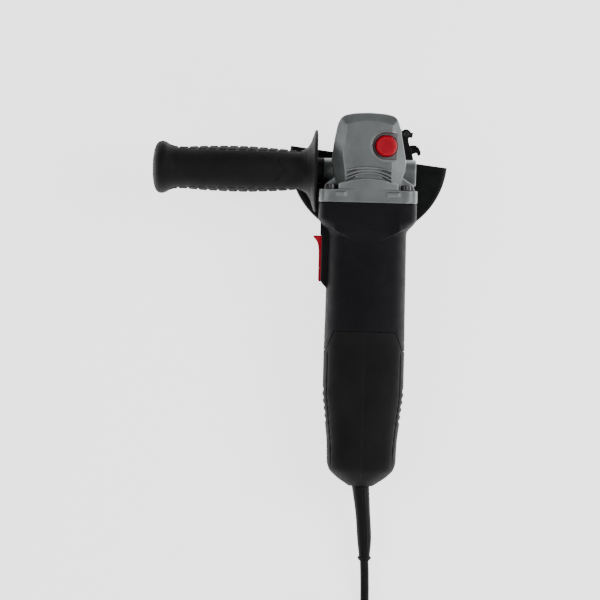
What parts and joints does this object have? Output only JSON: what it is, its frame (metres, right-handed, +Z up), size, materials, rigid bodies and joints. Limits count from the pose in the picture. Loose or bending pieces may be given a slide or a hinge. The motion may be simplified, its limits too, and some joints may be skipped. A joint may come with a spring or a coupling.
{
  "type": "angle grinder",
  "caption": "Corded hand grinder with a gear head, spindle lock, turning wheel guard with lever clamp, side handle, slide switch and coiled mains lead. No wheel fitted.",
  "frame": {"origin": "centre of the box round the tool without its lead, on the surface that it lies on", "axes": "+Y along the body towards the gear head, +Z up, +X towards the free handle socket. The tool lies nose up on its guard's rim and its tail, so the motor axis is tilted 10.67 degrees about X"},
  "size_m": [0.2362, 0.5101, 0.1096],
  "materials": {
    "cast_aluminium": "fine cast and tumbled, satin",
    "black_plastic": "glass-filled nylon with a fine spark texture",
    "rear_plastic": "glass-filled nylon with a fine spark texture",
    "grip_plastic": "moulded grip, matt with textured pads",
    "red_plastic": "moulded, soft gloss",
    "black_steel": "black powder coat, satin",
    "bright_steel": "turned and zinc plated",
    "tool_steel": "dark hardened steel",
    "laminations": "stacked sheet, varnished",
    "copper": "enamelled copper wire",
    "brass": "pressed brass",
    "carbon": "pressed carbon",
    "inner_plastic": "plain moulded",
    "rubber": "matt moulded rubber"
  },
  "bodies": {
    "tool_body": {"gear_housing": "cast_aluminium", "bearing_cover": "cast_aluminium", "lock_spring": "bright_steel", "spindle_bearing": "bright_steel", "spindle_bush": "brass", "front_bearing": "bright_steel", "rear_bearing": "bright_steel", "stator_core": "laminations", "field_coil_front": "copper", "field_coil_rear": "copper", "air_baffle": "inner_plastic", "bearing_bracket": "inner_plastic", "brush_left": "carbon", "brush_right": "carbon", "brush_holder_left": "brass", "brush_holder_right": "brass", "brush_spring_left": "bright_steel", "brush_spring_right": "bright_steel", "motor_housing": "black_plastic", "rear_cover_left": "rear_plastic", "rear_cover_right": "rear_plastic", "rear_screw_1": "tool_steel", "rear_screw_2": "tool_steel", "switch_block": "inner_plastic", "cord_boot": "rubber", "cord_clamp": "inner_plastic", "cord_tube": "rubber", "cord_coil": "rubber", "plug_body": "rubber", "plug_pin_1": "bright_steel", "plug_pin_2": "bright_steel", "cover_screw_1": "tool_steel", "head_screw_1": "tool_steel", "cover_screw_2": "tool_steel", "head_screw_2": "tool_steel", "cover_screw_3": "tool_steel", "head_screw_3": "tool_steel", "cover_screw_4": "tool_steel", "head_screw_4": "tool_steel"},
    "spindle": {"spindle": "bright_steel", "crown_gear": "tool_steel", "inner_flange": "bright_steel"},
    "clamp_nut": {"clamp_nut": "bright_steel"},
    "armature": {"pinion": "tool_steel", "armature_shaft": "tool_steel", "armature_core": "laminations", "armature_winding": "copper", "commutator": "copper", "fan": "inner_plastic"},
    "lock_button": {"lock_button": "red_plastic", "lock_pin": "tool_steel"},
    "switch": {"switch_slider": "red_plastic", "switch_rod": "inner_plastic"},
    "guard": {"guard_shell": "black_steel", "guard_band": "black_steel", "clamp_bolt": "black_steel", "lever_pin": "bright_steel"},
    "guard_lever": {"guard_lever": "black_steel"},
    "side_handle": {"handle_grip": "grip_plastic", "handle_stud": "bright_steel"}
  },
  "joints": [
    {"name": "spindle_spin", "type": "hinge", "parent": "tool_body", "child": "spindle", "pos_m": [0.0549, 0.1373, 0.07465], "axis": [0, -0.1852, 0.9827], "continuous": true},
    {"name": "armature_spin", "type": "hinge", "parent": "tool_body", "child": "armature", "pos_m": [0.0549, 0.1373, 0.07465], "axis": [0, 0.9827, 0.1852], "continuous": true},
    {"name": "lock_button_press", "type": "slide", "parent": "tool_body", "child": "lock_button", "axis": [0, 0.1852, -0.9827], "range_m": [0, 0.0045], "stiffness_N_per_m": 600, "springref_m": -0.002, "deforming": ["lock_spring"]},
    {"name": "switch_slide", "type": "slide", "parent": "tool_body", "child": "switch", "axis": [0, 0.9827, 0.1852], "range_m": [0, 0.006]},
    {"name": "guard_turn", "type": "hinge", "parent": "tool_body", "child": "guard", "pos_m": [0.0549, 0.14526, 0.03239], "axis": [0, -0.1852, 0.9827], "range_deg": [-30, 90]},
    {"name": "guard_lever_turn", "type": "hinge", "parent": "guard", "child": "guard_lever", "pos_m": [0.0844, 0.16435, 0.04179], "axis": [0, -0.1852, 0.9827], "range_deg": [0, 90]},
    {"name": "clamp_nut_unscrew", "type": "slide", "parent": "spindle", "child": "clamp_nut", "axis": [0, 0.1852, -0.9827], "range_m": [0, 0.008]},
    {"name": "side_handle_unscrew", "type": "slide", "parent": "tool_body", "child": "side_handle", "axis": [-1, 0, 0], "range_m": [0, 0.025]}
  ],
  "couplings": [
    {"joint": "armature_spin", "follows": "spindle_spin", "ratio": -3.4545}
  ]
}
